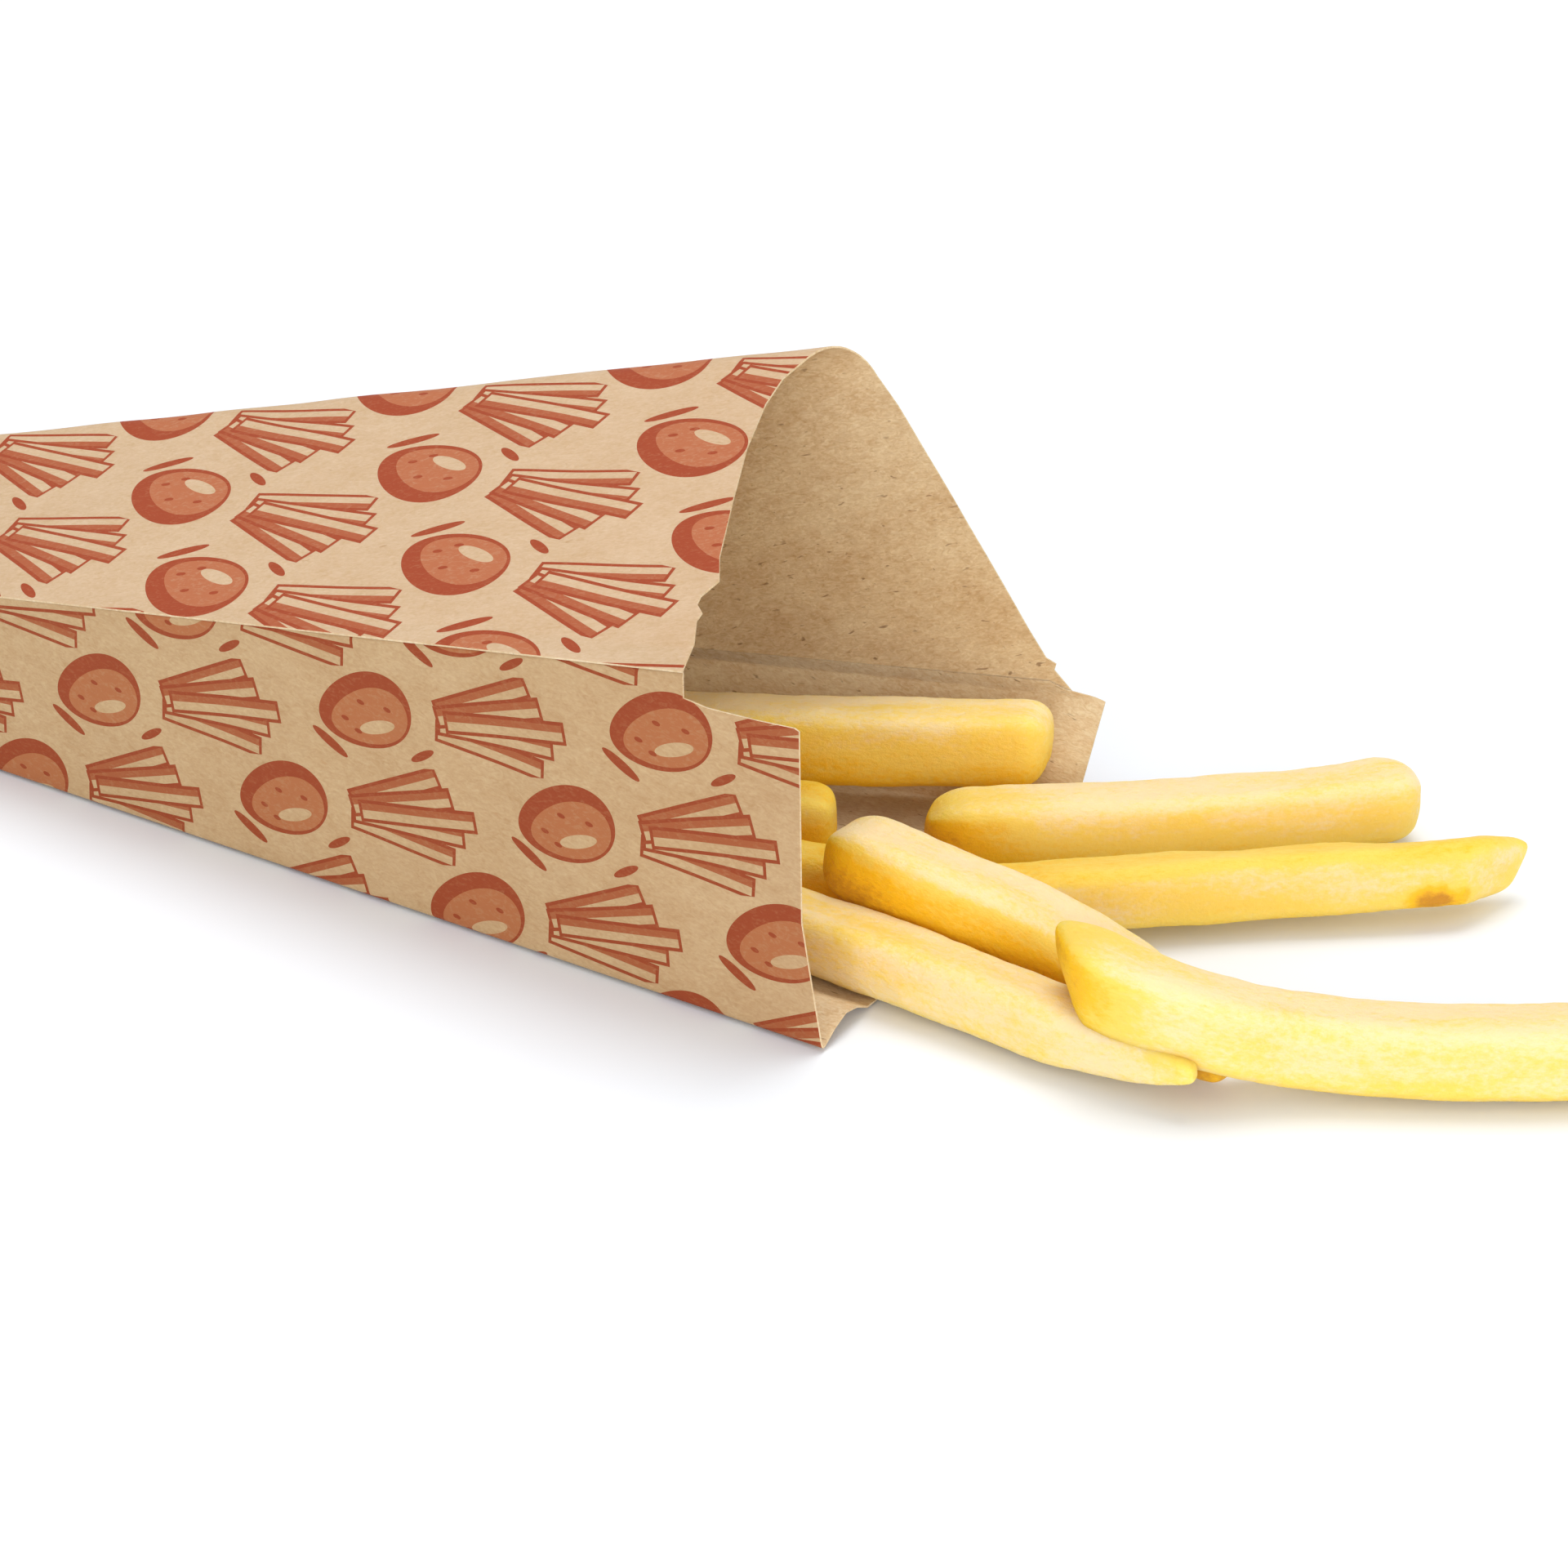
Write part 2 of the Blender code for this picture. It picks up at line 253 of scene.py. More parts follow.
def fold_sheet(name, line, edge, seed):
    """Makes a sheet of paper, folded into its part of the cone."""
    columns = len(line)
    bpy.ops.object.select_all(action="DESELECT")
    bpy.ops.mesh.primitive_grid_add(x_subdivisions=ROWS - 1, y_subdivisions=columns - 1, size=1.0)
    sheet = bpy.context.object
    sheet.name = name
    grid = points_of(sheet)
    row = np.rint((grid[:, 0] + 0.5) * (ROWS - 1)).astype(int)
    column = np.rint((grid[:, 1] + 0.5) * (columns - 1)).astype(int)
    mouth = 1 - setbacks(edge, line) / CONE_LENGTH
    share = TIP_SHARE + (mouth[column] - TIP_SHARE) * row / (ROWS - 1)
    corners = np.array([(point.x, point.y) for point in line])
    rays = np.column_stack([np.full(columns, CONE_LENGTH), corners])
    lengths = np.linalg.norm(rays, axis=1)
    units = rays / lengths[:, None]
    turns = np.arccos(np.clip((units[1:] * units[:-1]).sum(axis=1), -1, 1))
    angles = np.concatenate([[0.0], np.cumsum(turns)])
    angles -= angles[-1] / 2
    folded = rays[column] * share[:, None]
    folded[:, 0] += MOUTH_X - CONE_LENGTH
    widths = paper_widths(line)
    bulge, lift = slack(corners[column], widths[column], folded, seed)
    outwards = np.gradient(corners, axis=0)[:, ::-1] * np.array([1.0, -1.0])
    outwards /= np.linalg.norm(outwards, axis=1)[:, None]
    folded[:, 1:] += outwards[column] * bulge[:, None]
    folded[:, 2] += lift * share
    opened = np.clip((share - TIP_SHARE) / (PRESSED_END - TIP_SHARE), 0, 1)
    folded[:, 2] *= PRESSED_HEIGHT + (1 - PRESSED_HEIGHT) * opened * (2 - opened)
    reach = lengths[column] * share
    flat = np.column_stack([reach * np.cos(angles[column]), reach * np.sin(angles[column])])
    move_points(sheet, folded)
    layout = sheet.data.uv_layers.active
    layout.name = "flat_sheet"
    for loop in sheet.data.loops:
        layout.data[loop.index].uv = flat[loop.vertex_index]
    return sheet


front_sheet = fold_sheet("front_sheet", front_line, FRONT_EDGE, 1.0)
back_sheet = fold_sheet("back_sheet", back_line, BACK_EDGE, 2.0)
print("front sheet has", len(front_sheet.data.polygons), "faces before it gets its thickness")

# %% Thickness
def normals_of(thing):
    table = np.empty(len(thing.data.vertices) * 3)
    thing.data.vertices.foreach_get("normal", table)
    return table.reshape(-1, 3)


def face_outwards(sheet):
    """Turns a sheet's faces over if they look into the cone."""
    places = points_of(sheet)
    middle = np.column_stack([places[:, 0], np.zeros(len(places)), places[:, 2].mean() * np.ones(len(places))])
    if ((places - middle) * normals_of(sheet)).sum() < 0:
        select_only(sheet)
        bpy.ops.object.mode_set(mode="EDIT")
        bpy.ops.mesh.select_all(action="SELECT")
        bpy.ops.mesh.flip_normals()
        bpy.ops.object.mode_set(mode="OBJECT")


for sheet in (front_sheet, back_sheet):
    face_outwards(sheet)
    sheet.data.materials.append(bpy.data.materials.new("printed_kraft"))
    sheet.data.materials.append(bpy.data.materials.new("bare_kraft"))
    apply_modifier(
        sheet,
        "SOLIDIFY",
        thickness=PAPER_THICKNESS,
        offset=-1.0,
        use_even_offset=True,
        material_offset=1,
        material_offset_rim=1,
    )
    select_only(sheet)
    bpy.ops.object.shade_smooth_by_angle(angle=math.radians(40))
    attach(sheet, "root")
    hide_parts("paper_cone")
    print(sheet.name, "ends with", len(sheet.data.polygons), "faces")

# %% [markdown]
# ## The fries
#
# A fry is a square stick of potato. Each is cut straight from a cube: its edges are rounded with a
# bevel, cuts are added along it, and a subdivision surface smooths it. Then it swells and narrows
# unevenly, gets its own end cuts, and is bent along its route with a Curve modifier. Where each
# point lay on the straight stick is kept as an attribute, so the potato's grain follows the bend.

# %% Routes of the fries
# Each fry has its route from the mouth in millimetres, its width and height, its two end cuts, and
# how golden its upper face, its near side and its two ends are, from 0 for pale to 1 for deep golden.
# The near side's amount is partly painted shade, which grows towards the bottom of that side.
FRIES = {}
FRIES["top_far"] = dict(
    route=[(-50, 11, 7.9), (-26, 20.5, 8.3), (-3, 30.7, 8.8)],
    size=(8.2, 9.2), ends=("cut", "leaning"), gold_and_shade=(0.10, 0.64, 0.2, 0.0), seed=1,
)
FRIES["far_outside"] = dict(
    route=[(-9.5, 12.5, 4.2), (0.8, 19, 4.2), (16.6, 29.8, 4.2), (31, 42, 4.2), (34.8, 46, 4.2)],
    size=(8.0, 8.0), ends=("round", "blunt"), gold_and_shade=(0.02, 0.42, 0.9, 0.0), seed=2,
)
FRIES["browned_end"] = dict(
    route=[(0, -3.5, 3.7), (17.5, 10.1, 3.6), (29, 18.5, 3.6), (42.2, 27.8, 3.6), (49.8, 34.0, 3.7)],
    size=(7.0, 7.2), ends=("cut", "slant"), gold_and_shade=(0.60, 0.32, 0.6, 0.0), roll=(0, -28), seed=3,
)
FRIES["sloping"] = dict(
    route=[(-10.6, -7.5, 10.8), (2.4, -8.6, 9.3), (15.8, -9.4, 7.0), (28.1, -13.7, 5.0), (40.1, -19.6, 3.9)],
    size=(8.4, 8.8), ends=("round", "taper"), gold_and_shade=(0.0, 1.0, 0.35, 0.8), seed=4,
)
FRIES["near_mouth"] = dict(
    route=[(-24.4, -12.9, 3.8), (-8.6, -15.0, 3.8), (6.1, -17.2, 3.6), (22.7, -20.7, 3.6), (38.6, -24.2, 4.3)],
    size=(7.2, 7.2), ends=("cut", "point"), gold_and_shade=(0.1, 0.05, 0.5, 0.40), seed=5,
)
FRIES["stub_far"] = dict(
    route=[(-46, 4, 3.5), (-33, 7.6, 3.5), (-20, 11.4, 3.5)],
    size=(6.6, 6.6), ends=("cut", "cut"), gold_and_shade=(0.5, 0.65, 0.2, 0.2), seed=6,
)
FRIES["stub_near"] = dict(
    route=[(-40, -6, 4.0), (-26, -4.5, 4.0), (-10.5, -2, 4.0)],
    size=(6.6, 6.6), ends=("cut", "cut"), gold_and_shade=(0.7, 0.85, 0.2, 0.3), seed=7,
)
FRIES["long_curved"] = dict(
    route=[(21.5, -20, 11), (34.3, -20.4, 8.6), (44, -15, 5.6), (60.6, -7.4, 4.5), (80, 4.5, 4.4)],
    size=(8.2, 8.4), ends=("skewed", "round"), gold_and_shade=(0.0, 0.17, 1.1, 0.3), seed=8,
)
FRIES["inner_near"] = dict(
    route=[(-118, -6, 4.5), (-88, -8.5, 4.5), (-58, -12, 4.5)],
    size=(7.6, 7.2), ends=("cut", "cut"), gold_and_shade=(0.3, 0.5, 0.4, 0.4), seed=9,
)
FRIES["inner_middle"] = dict(
    route=[(-124, 3, 4.5), (-92, 1, 4.6), (-50, 1, 4.6)],
    size=(7.6, 7.6), ends=("cut", "cut"), gold_and_shade=(0.2, 0.5, 0.4, 0.4), seed=10,
)
FRIES["inner_far"] = dict(
    route=[(-108, 10.5, 5), (-76, 12, 5), (-40, 13.5, 4.8)],
    size=(7.4, 7.6), ends=("cut", "cut"), gold_and_shade=(0.4, 0.6, 0.4, 0.4), seed=11,
)
FRIES["upper_near"] = dict(
    route=[(-128, 1, 11.2), (-100, -4, 12), (-66, -8, 11.8)],
    size=(7.4, 7.4), ends=("cut", "cut"), gold_and_shade=(0.2, 0.4, 0.4, 0.4), seed=12,
)
FRIES["upper_far"] = dict(
    route=[(-112, 8, 12.2), (-84, 7.5, 12.4), (-52, 10, 11.8)],
    size=(7.4, 7.4), ends=("cut", "round"), gold_and_shade=(0.1, 0.4, 0.4, 0.4), seed=13,
)
print(len(FRIES), "fries")

# %% A straight stick
STICK_CUTS = 20
EDGE_SHARE = 0.26
# How much each kind of end narrows, how far back in millimetres that starts, how late it comes, and
# how the end slants across the stick.
END_CUTS = {
    "cut": (0.10, 3.0, 1.5, 0.12),
    "round": (0.38, 5.0, 2.0, 0.05),
    "blunt": (0.34, 5.0, 2.4, -0.10),
    "leaning": (0.30, 4.0, 2.4, -0.12),
    "taper": (0.52, 17.0, 1.2, 0.10),
    "point": (0.68, 17.0, 1.30, 0.10),
    "slant": (0.26, 4.0, 1.4, -0.95),
    "skewed": (0.32, 5.0, 1.6, -0.55),
}


def straight_stick(name, length, width, height):
    """A straight stick with rounded edges and ends, which runs from x = 0 to its length."""
    bpy.ops.object.select_all(action="DESELECT")
    bpy.ops.mesh.primitive_cube_add(size=1.0, location=(length / 2, 0, 0), scale=(length, width, height))
    stick = bpy.context.object
    stick.name = name
    bpy.ops.object.transform_apply(location=True, rotation=True, scale=True)
    bpy.ops.object.mode_set(mode="EDIT")
    bpy.ops.mesh.select_all(action="SELECT")
    bpy.ops.mesh.bevel(offset=EDGE_SHARE * min(width, height), segments=3, profile=0.5, affect="EDGES")
    bpy.ops.mesh.select_mode(type="EDGE")
    bpy.ops.mesh.select_all(action="DESELECT")
    bpy.ops.object.mode_set(mode="OBJECT")
    points = stick.data.vertices
    for edge in stick.data.edges:
        first, last = edge.vertices
        edge.select = abs(points[first].co.x - points[last].co.x) > length / 3
    bpy.ops.object.mode_set(mode="EDIT")
    bpy.ops.mesh.subdivide(number_cuts=STICK_CUTS)
    bpy.ops.object.mode_set(mode="OBJECT")
    apply_modifier(stick, "SUBSURF", levels=2, render_levels=2)
    return stick


# %% Ends, swelling and unevenness
def near_end(distance, reach):
    """1 at an end of the stick, falling smoothly to 0 at the reach."""
    share = np.clip(1 - distance / reach, 0, 1)
    return share * share * (3 - 2 * share)


def shape_stick(stick, length, ends, roll, seed):
    """Gives a stick its uneven thickness, its two end cuts and its roll along its length."""
    places = points_of(stick)
    along = places[:, 0].copy()
    middle_line = np.column_stack([along, 0 * along, 0 * along])
    swell = 1 + 0.07 * waves(middle_line, 15 * MM, seed)
    for distance, kind, outwards in ((along, ends[0], -1), (length - along, ends[1], 1)):
        narrowing, reach, lateness, slant = END_CUTS[kind]
        swell *= 1 - narrowing * np.clip(1 - distance / (reach * MM), 0, 1) ** lateness
        places[:, 0] -= outwards * slant * (places[:, 1] + 0.5 * places[:, 2]) * near_end(distance, 9 * MM)
    places[:, 1:] *= swell[:, None]
    ridges = waves(places * np.array([0.22, 1.0, 1.0]), 3.2 * MM, seed + 20)
    dents = waves(places * np.array([0.6, 1.0, 1.0]), 3.6 * MM, seed + 40)
    blisters = waves(places, 1.7 * MM, seed + 60)
    bumps = 0.26 * ridges + 0.16 * dents + 0.08 * blisters
    places += normals_of(stick) * bumps[:, None] * MM
    turn = np.radians(roll[0] + (roll[1] - roll[0]) * along / length)
    y, z = places[:, 1].copy(), places[:, 2].copy()
    places[:, 1] = y * np.cos(turn) - z * np.sin(turn)
    places[:, 2] = y * np.sin(turn) + z * np.cos(turn)
    move_points(stick, places)


def gold_and_shade_of(stick, length, size, gold_and_shade, seed):
    """How golden the crust is at each point of a straight stick, with painted light and shade: upward faces stay paler
    and the sides grow more golden towards the bottom.
    """
    straight = points_of(stick)
    upper, side, first_end, last_end = gold_and_shade
    height = straight[:, 2] / (size[1] * MM)
    depth = straight[:, 1] / (size[0] * MM)
    # Upward faces are kept paler and the sides grow more golden towards the bottom: painted light and shade, on top of
    # the real browning of the edges and ends.
    facing_up = np.clip((normals_of(stick)[:, 2] - 0.20) / 0.55, 0, 1)
    down = np.clip(0.5 - height, 0, 1)
    crust = upper * facing_up + side * (1 - facing_up) * (0.25 + 1.3 * down)
    crust += 0.30 * np.clip(np.abs(height * depth) * 4 - 0.50, 0, 1)
    crust += first_end * near_end(straight[:, 0], 15 * MM) * (1 - 0.6 * facing_up)
    crust += last_end * near_end(length - straight[:, 0], 7 * MM)
    crust += 0.20 * waves(straight * np.array([0.2, 1.0, 1.0]), 3.5 * MM, seed + 80)
    return np.clip(crust, 0, 1.5)


def browned_spot(straight, centre, half_size):
    """Adds the colour of one browned spot, which has a soft edge."""
    away = np.linalg.norm((straight - np.array(centre) * MM) / (np.array(half_size) * MM), axis=1)
    away += 0.35 * waves(straight, 1.5 * MM, 5.0)
    return 1.3 * np.clip(1.5 - away, 0, 1)


# %% Bending a stick along its route
def bend_along(stick, route):
    """Bends a stick along a smooth curve through the points of its route."""
    points = [Vector(point) * MM + Vector((MOUTH_X, 0, 0)) for point in route]
    bpy.ops.object.select_all(action="DESELECT")
    bpy.ops.curve.primitive_bezier_curve_add()
    guide = bpy.context.object
    spline = guide.data.splines[0]
    spline.bezier_points.add(len(points) - 2)
    for place, point in zip(spline.bezier_points, points):
        place.co = point
        place.handle_left_type = "AUTO"
        place.handle_right_type = "AUTO"
    guide.data.dimensions = "3D"
    guide.data.twist_mode = "Z_UP"
    guide.data.resolution_u = 24
    bpy.context.view_layer.update()
    apply_modifier(stick, "CURVE", object=guide, deform_axis="POS_X")
    bpy.data.objects.remove(guide, do_unlink=True)


def route_length(route):
    points = [Vector(point) * MM for point in route]
    return sum((b - a).length for a, b in zip(points, points[1:]))


def remember(thing, name, table, kind):
    """Stores a value for each point of a piece as an attribute."""
    attribute = thing.data.attributes.new(name, kind, "POINT")
    attribute.data.foreach_set("vector" if kind == "FLOAT_VECTOR" else "value", np.ravel(table))


# %% Every fry
fries = {}
for name, plan in FRIES.items():
    length = route_length(plan["route"])
    fry = straight_stick(name, length, plan["size"][0] * MM, plan["size"][1] * MM)
    shape_stick(fry, length, plan["ends"], plan.get("roll", (0, 0)), plan["seed"])
    straight = points_of(fry)
    remember(fry, "grain", straight + np.array([0, 0, 0.05 * plan["seed"]]), "FLOAT_VECTOR")
    gold_and_shade = gold_and_shade_of(fry, length, plan["size"], plan["gold_and_shade"], plan["seed"])
    if name == "browned_end":
        gold_and_shade += browned_spot(straight, (length / MM - 9.2, -3.4, -1.1), (3.0, 1.8, 1.2))
    remember(fry, "gold_and_shade", gold_and_shade, "FLOAT")
    bend_along(fry, plan["route"])
    places = points_of(fry)
    places[:, 2] += max(0.0, 0.3 * MM - places[:, 2].min())
    move_points(fry, places)
    select_only(fry)
    bpy.ops.object.shade_smooth()
    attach(fry, "root")
    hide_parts("fries")
    fries[name] = fry
    print(name, "is", round(length / MM), "mm long and has", len(fry.data.polygons), "faces")

# %% [markdown]
# ## Nodes and colours
#
# Colours are chosen as sRGB hex, the way a paint chart gives them, and turned into linear light by
# one function. One small function adds any node, with its settings and its links.

# %% Material tools
def colour(code, strength=1.0):
    """A linear colour from an sRGB hex code."""
    parts = [int(code[place:place + 2], 16) / 255 for place in (1, 3, 5)]
    linear = [part / 12.92 if part <= 0.04045 else ((part + 0.055) / 1.055) ** 2.4 for part in parts]
    return (*[min(1.0, part * strength) for part in linear], 1.0)


def node(tree, kind, inputs=None, output=0, **settings):
    """Adds a node with its settings, links or sets its inputs, and returns one of its outputs."""
    made = tree.nodes.new("ShaderNode" + kind)
    for name, value in settings.items():
        setattr(made, name, value)
    for place, value in (inputs or {}).items():
        if isinstance(value, bpy.types.NodeSocket):
            tree.links.new(value, made.inputs[place])
        else:
            made.inputs[place].default_value = value
    return made.outputs[output]


def calculate(tree, operation, *values):
    """Adds a Math node."""
    return node(tree, "Math", dict(enumerate(values)), operation=operation)


def start_material(material, **surface_values):
    """Gives a material its shader, and sets the values that are the same all over the surface."""
    material.use_nodes = True
    tree = material.node_tree
    shader = tree.nodes["Principled BSDF"]
    for name, value in surface_values.items():
        shader.inputs[name.replace("_", " ")].default_value = value
    return tree, shader


# %% [markdown]
# ## Fried potato
#
# A fry's crust is a thin dried skin of starch, pale yellow where it stayed moist and golden where
# the oil browned it most: on the edges and the ends. Its upward faces are also painted paler and its
# lower sides more golden, partly as browning and partly as painted light and shade. Under the crust
# the flesh is moist and lets light in, so the fry glows instead of looking painted. The oil gives
# it a soft gloss.

# %% Fry finish
potato = bpy.data.materials.new("fried_potato")
tree, shader = start_material(
    potato,
    Roughness=0.46,
    IOR=1.45,
    Subsurface_Weight=0.55,
    Subsurface_Scale=0.004,
    Specular_IOR_Level=0.36,
)
shader.inputs["Subsurface Radius"].default_value = (1.0, 0.8, 0.35)
# The attribute read here is partly real browning and partly painted shade on the fries' lower sides.
grain = node(tree, "Attribute", output="Vector", attribute_name="grain")
gold_and_shade = node(tree, "Attribute", output="Fac", attribute_name="gold_and_shade")
stretched = node(tree, "Mapping", {"Vector": grain, "Scale": (110, 420, 420)})
streaks = node(tree, "TexNoise", {"Vector": stretched, "Scale": 1.0, "Detail": 3.0, "Roughness": 0.55})
fine = node(tree, "Mapping", {"Vector": grain, "Scale": (1100, 1900, 1900)})
mottle = node(tree, "TexNoise", {"Vector": fine, "Scale": 1.0, "Detail": 4.0, "Roughness": 0.7})
cooked_and_shaded = calculate(tree, "MULTIPLY_ADD", calculate(tree, "SUBTRACT", streaks, 0.5), 0.7, gold_and_shade)
cooked_and_shaded = calculate(tree, "MULTIPLY_ADD", calculate(tree, "SUBTRACT", mottle, 0.5), 0.85, cooked_and_shaded)
crust = None
for low, high, low_colour, high_colour in (
    (-0.1, 0.45, "#F9DCA8", "#FBD35E"),
    (0.45, 1.0, None, "#FAC018"),
    (1.0, 1.7, None, "#CC8C1C"),
):
    amount = node(tree, "MapRange", {"Value": cooked_and_shaded, "From Min": low, "From Max": high}, interpolation_type="SMOOTHSTEP")
    start = colour(low_colour) if crust is None else crust
    crust = node(tree, "Mix", {0: amount, 6: start, 7: colour(high_colour)}, output=2, data_type="RGBA")
tree.links.new(crust, shader.inputs["Base Color"])
bump = node(tree, "Bump", {"Height": mottle, "Distance": 0.0004, "Strength": 0.7})
tree.links.new(bump, shader.inputs["Normal"])
for fry in fries.values():
    fry.data.materials.append(potato)
print("fry finish has", len(tree.nodes), "nodes")

# %% [markdown]
# ## Kraft paper
#
# Kraft paper is unbleached wood pulp. Its outer side is pressed smooth and takes the print; its
# inner side shows the fibres, short dark specks of bark and cloudy patches where the pulp lay
# thicker. All sizes below are in millimetres on the flat sheet.

# %% The print
# The print repeats a potato and a fan of fries. Each fry has its middle, its turn and its half
# length, drawn from the back one to the front one.
CELL = (42.0, 11.6)
ROW_SHIFT = 0.37
STICKS = [(5.4, 3.0, 15, 7.6), (5.6, -3.0, -15, 7.2), (6.6, 1.3, 7, 8.2), (6.2, -1.4, -7, 7.8), (8.2, 0.2, 1, 8.6)]
STICK_HALF_WIDTH = 1.35
LINE = 0.42


def inside(tree, where, x, y, turn, half_length, half_width, narrowing=0.0):
    """1 inside an egg shape, and 0 outside it."""
    turned = node(
        tree,
        "Mapping",
        {"Vector": where, "Location": (x, y, 0), "Rotation": (0, 0, math.radians(turn)),
         "Scale": (half_length, half_width, 1)},
        vector_type="TEXTURE",
    )
    across = node(tree, "SeparateXYZ", {0: turned}, output="Y")
    along = node(tree, "SeparateXYZ", {0: turned}, output="X")
    across = calculate(tree, "DIVIDE", across, calculate(tree, "MULTIPLY_ADD", along, narrowing, 1.0))
    egg = node(tree, "CombineXYZ", {0: along, 1: across})
    reach = node(tree, "VectorMath", {0: egg}, output="Value", operation="LENGTH")
    return calculate(tree, "LESS_THAN", reach, 1.0)


def over(tree, below, tone, mask):
    """Lays a tone over what is below it, where the mask is 1."""
    return node(tree, "Mix", {0: mask, 2: below, 3: tone}, data_type="FLOAT")


def cell_places(tree, turn, size):
    """Millimetres of print from the middle of its cell, with each row shifted along from the last."""
    flat = node(tree, "UVMap", uv_map="flat_sheet")
    print_scale = {"Vector": flat, "Rotation": (0, 0, math.radians(turn)), "Scale": (1000 / size,) * 3}
    scaled = node(tree, "Mapping", print_scale)
    cells_up = calculate(tree, "DIVIDE", node(tree, "SeparateXYZ", {0: scaled}, output="Y"), CELL[1])
    cells_along = calculate(tree, "DIVIDE", node(tree, "SeparateXYZ", {0: scaled}, output="X"), CELL[0])
    row = calculate(tree, "FLOOR", cells_up)
    cells_along = calculate(tree, "MULTIPLY_ADD", row, ROW_SHIFT, cells_along)
    x = calculate(tree, "SUBTRACT", calculate(tree, "FRACT", cells_along), 0.5)
    y = calculate(tree, "SUBTRACT", calculate(tree, "FRACT", cells_up), 0.5)
    middle = node(tree, "CombineXYZ", {0: x, 1: y})
    return node(tree, "VectorMath", {0: middle, 1: (CELL[0], CELL[1], 0)}, operation="MULTIPLY")


def printed_fry(tree, where, tone, x, y, turn, half_length):
    """Draws one fry of the fan over the tone below: an outline, a bare face and a shaded side."""
    place = {"Vector": where, "Location": (x, y, 0), "Rotation": (0, 0, math.radians(turn))}
    turned = node(tree, "Mapping", place, vector_type="TEXTURE")
    away = node(tree, "VectorMath", {0: turned}, operation="ABSOLUTE")
    past = node(tree, "VectorMath", {0: away, 1: (half_length, STICK_HALF_WIDTH, 0)}, operation="SUBTRACT")
    past_end = node(tree, "SeparateXYZ", {0: past}, output="X")
    past_side = node(tree, "SeparateXYZ", {0: past}, output="Y")
    past_edge = calculate(tree, "MAXIMUM", past_end, past_side)
    outline = calculate(tree, "GREATER_THAN", past_edge, -LINE)
    side = node(tree, "SeparateXYZ", {0: turned}, output="Y")
    shade = calculate(tree, "MULTIPLY", calculate(tree, "LESS_THAN", side, -0.1), 0.75)
    face = calculate(tree, "MAXIMUM", outline, shade)
    return over(tree, tone, face, calculate(tree, "LESS_THAN", past_edge, 0.0))


def printed_tone(tree, turn, size):
    """The print's tone: 0 for bare paper, 0.5 for the light ink and 1 for the full ink."""
    where = cell_places(tree, turn, size)
    tone = 0.0
    for x, y, fry_turn, half_length in STICKS:
        tone = printed_fry(tree, where, tone, x, y, fry_turn, half_length)
    tone = over(tree, tone, 1.0, inside(tree, where, -12.0, -0.6, -8, 7.0, 4.5, 0.15))
    tone = over(tree, tone, 0.5, inside(tree, where, -11.5, 0.1, -8, 5.8, 3.3, 0.18))
    tone = over(tree, tone, 0.0, inside(tree, where, -10.6, 1.3, -8, 2.7, 0.8))
    for x, y in ((-15.2, 0.4), (-12.4, -1.6), (-8.6, -0.9), (-13.6, 1.9)):
        tone = over(tree, tone, 1.0, inside(tree, where, x, y, 20, 0.55, 0.28))
    tone = over(tree, tone, 1.0, inside(tree, where, -18.2, 3.4, 40, 2.8, 0.6))
    return over(tree, tone, 1.0, inside(tree, where, -4.6, 4.3, -20, 1.9, 0.5))


# %% Paper finishes
def pulp(tree, light, dark, speck, clouds_amount, specks_amount):
    """Bare kraft paper: its colour with clouds, fibres and specks, and the height of its fibres."""
    flat = node(tree, "UVMap", uv_map="flat_sheet")
    wide = node(tree, "Mapping", {"Vector": flat, "Scale": (90, 150, 100)})
    clouds = node(tree, "TexNoise", {"Vector": wide, "Scale": 1.0, "Detail": 6.0, "Roughness": 0.7})
    close = node(tree, "Mapping", {"Vector": flat, "Rotation": (0, 0, 0.25), "Scale": (900, 1900, 1000)})
    fibres = node(tree, "TexNoise", {"Vector": close, "Scale": 1.0, "Detail": 3.0, "Distortion": 1.5})
    crossed = node(tree, "Mapping", {"Vector": flat, "Rotation": (0, 0, -0.9), "Scale": (900, 1900, 1000)})
    more_fibres = node(tree, "TexNoise", {"Vector": crossed, "Scale": 1.0, "Detail": 3.0, "Distortion": 1.5})
    weave = calculate(tree, "MULTIPLY_ADD", more_fibres, 0.5, calculate(tree, "MULTIPLY", fibres, 0.5))
    cloudy = calculate(tree, "MULTIPLY_ADD", calculate(tree, "SUBTRACT", clouds, 0.5), clouds_amount, 0.5)
    mixed = calculate(tree, "MULTIPLY_ADD", calculate(tree, "SUBTRACT", weave, 0.5), 2.2, cloudy)
    base = node(tree, "Mix", {0: mixed, 6: dark, 7: light}, output=2, data_type="RGBA")
    dots = node(tree, "Mapping", {"Vector": flat, "Rotation": (0, 0, 0.5), "Scale": (520, 1500, 1000)})
    bark = node(tree, "TexNoise", {"Vector": dots, "Scale": 1.0, "Detail": 2.0, "Distortion": 0.6})
    flecks = node(tree, "MapRange", {"Value": bark, "From Min": 0.70 - specks_amount, "From Max": 0.76 - specks_amount})
    flecks = calculate(tree, "MULTIPLY", flecks, 0.65)
    return node(tree, "Mix", {0: flecks, 6: base, 7: speck}, output=2, data_type="RGBA"), weave


# Thin paper lets a little light through, which brightens the inside of the cone.
LIGHT_THROUGH = {"Subsurface_Weight": 0.25, "Subsurface_Scale": 0.0008, "Subsurface_Radius": (1.0, 0.8, 0.55)}


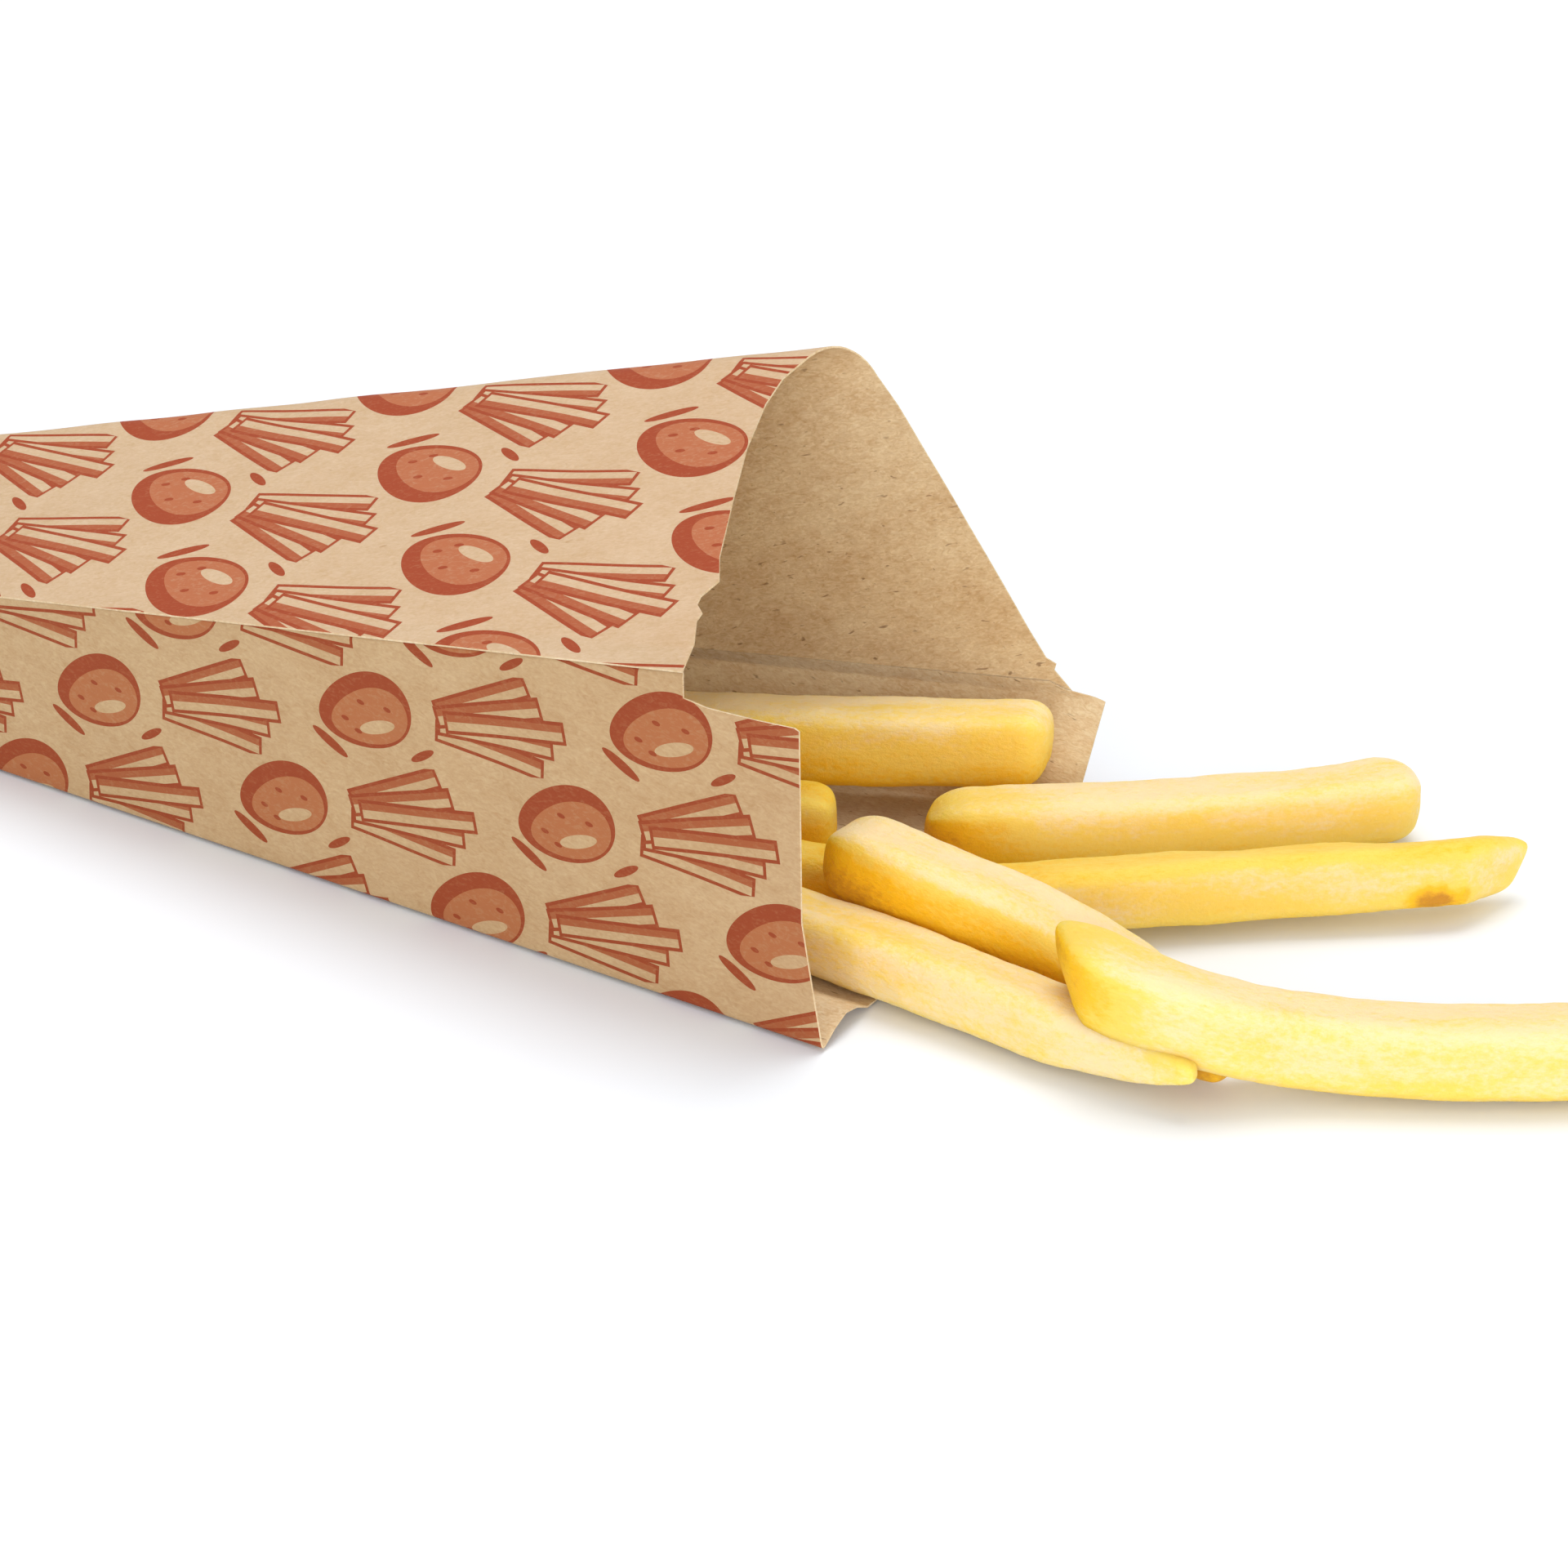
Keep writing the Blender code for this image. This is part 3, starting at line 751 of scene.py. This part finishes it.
def finish_printed(material, turn, size, light, dark, light_ink_colour, full_ink_colour):
    """The smooth outer side, whose ink lets a little of the paper through."""
    tree, shader = start_material(material, Roughness=0.70, Specular_IOR_Level=0.25, **LIGHT_THROUGH)
    paper, weave = pulp(tree, light, dark, colour("#B08A60"), 1.3, -0.02)
    tone = printed_tone(tree, turn, size)
    light_ink = node(tree, "MapRange", {"Value": tone, "From Min": 0.0, "From Max": 0.5})
    full_ink = node(tree, "MapRange", {"Value": tone, "From Min": 0.5, "From Max": 1.0})
    worn = node(tree, "MapRange", {"Value": weave, "From Min": 0.35, "From Max": 0.5, "To Min": 0.72})
    light_ink = calculate(tree, "MULTIPLY", light_ink, worn)
    full_ink = calculate(tree, "MULTIPLY", full_ink, worn)
    salmon = node(tree, "Mix", {0: light_ink, 6: paper, 7: light_ink_colour}, output=2, data_type="RGBA")
    inked = node(tree, "Mix", {0: full_ink, 6: salmon, 7: full_ink_colour}, output=2, data_type="RGBA")
    tree.links.new(inked, shader.inputs["Base Color"])
    bump = node(tree, "Bump", {"Height": weave, "Distance": 0.00008, "Strength": 0.4})
    tree.links.new(bump, shader.inputs["Normal"])


def finish_bare(material, light, dark):
    """The rough inner side, where the fibres and the bark show."""
    tree, shader = start_material(material, Roughness=0.85, Specular_IOR_Level=0.2, **LIGHT_THROUGH)
    paper, weave = pulp(tree, light, dark, colour("#765739"), 1.6, 0.03)
    tree.links.new(paper, shader.inputs["Base Color"])
    bump = node(tree, "Bump", {"Height": weave, "Distance": 0.0002, "Strength": 0.5})
    tree.links.new(bump, shader.inputs["Normal"])


finish_printed(
    front_sheet.data.materials[0], 22, 1.12,
    colour("#D3B798"), colour("#C2A17B"), colour("#B46944"), colour("#9E4220"),
)
# The back sheet makes the near wall, which stands in shade: its paper and inks are darker than the front sheet's, as
# painted shade.
finish_printed(
    back_sheet.data.materials[0], 15, 0.95,
    colour("#C0A47D"), colour("#AC8A61"), colour("#A5653D"), colour("#8F3E1C"),
)
finish_bare(front_sheet.data.materials[1], colour("#E0CBA9"), colour("#BC9D74"))
# The back sheet's bare side is lighter than the front sheet's: painted light on the cone's shaded inner floor and low
# far wall.
finish_bare(back_sheet.data.materials[1], colour("#E2CFAE"), colour("#C4A47C"))
print("printed side has", len(front_sheet.data.materials[0].node_tree.nodes), "nodes")

# %% [markdown]
# ## Floor and light
#
# The cone stands on a plain white floor under one large soft light, with a pale sky all round, so
# the only strong shadow is the soft one right under the paper's edge.

# %% Studio
bpy.ops.object.select_all(action="DESELECT")
bpy.ops.mesh.primitive_plane_add(size=8.0, location=(0, 0, -0.0003))
floor = bpy.context.object
floor.name = "floor"
tree, shader = start_material(bpy.data.materials.new("floor_white"), Roughness=0.9)
shader.inputs["Base Color"].default_value = (0.895, 0.935, 0.985, 1.0)
floor.data.materials.append(bpy.data.materials["floor_white"])

world = bpy.data.worlds.new("studio")
bpy.context.scene.world = world
world.use_nodes = True
sky = world.node_tree.nodes["Background"]
sky.inputs["Color"].default_value = (1.0, 1.0, 1.0, 1.0)
sky.inputs["Strength"].default_value = 0.67


def soft_light(name, place, width, power, tint):
    """A square light that looks at the mouth of the cone."""
    bpy.ops.object.select_all(action="DESELECT")
    bpy.ops.object.light_add(type="AREA", location=place)
    lamp = bpy.context.object
    lamp.name = name
    lamp.rotation_euler = (Vector(place) - LOOK_AT).to_track_quat("Z", "Y").to_euler()
    lamp.data.size = width
    lamp.data.energy = power
    lamp.data.color = tint
    return lamp


soft_light("overhead", (-0.06, 0.50, 1.60), 0.85, 12.2, (1.0, 1.0, 1.0))
soft_light("mouth_fill", (1.75, -1.00, 0.62), 1.0, 11.8, (1.0, 1.0, 1.0))
soft_light("front_fill", (0.45, -1.90, 0.36), 1.2, 17.0, (1.0, 1.0, 1.0))
bpy.context.scene.view_settings.view_transform = "Standard"
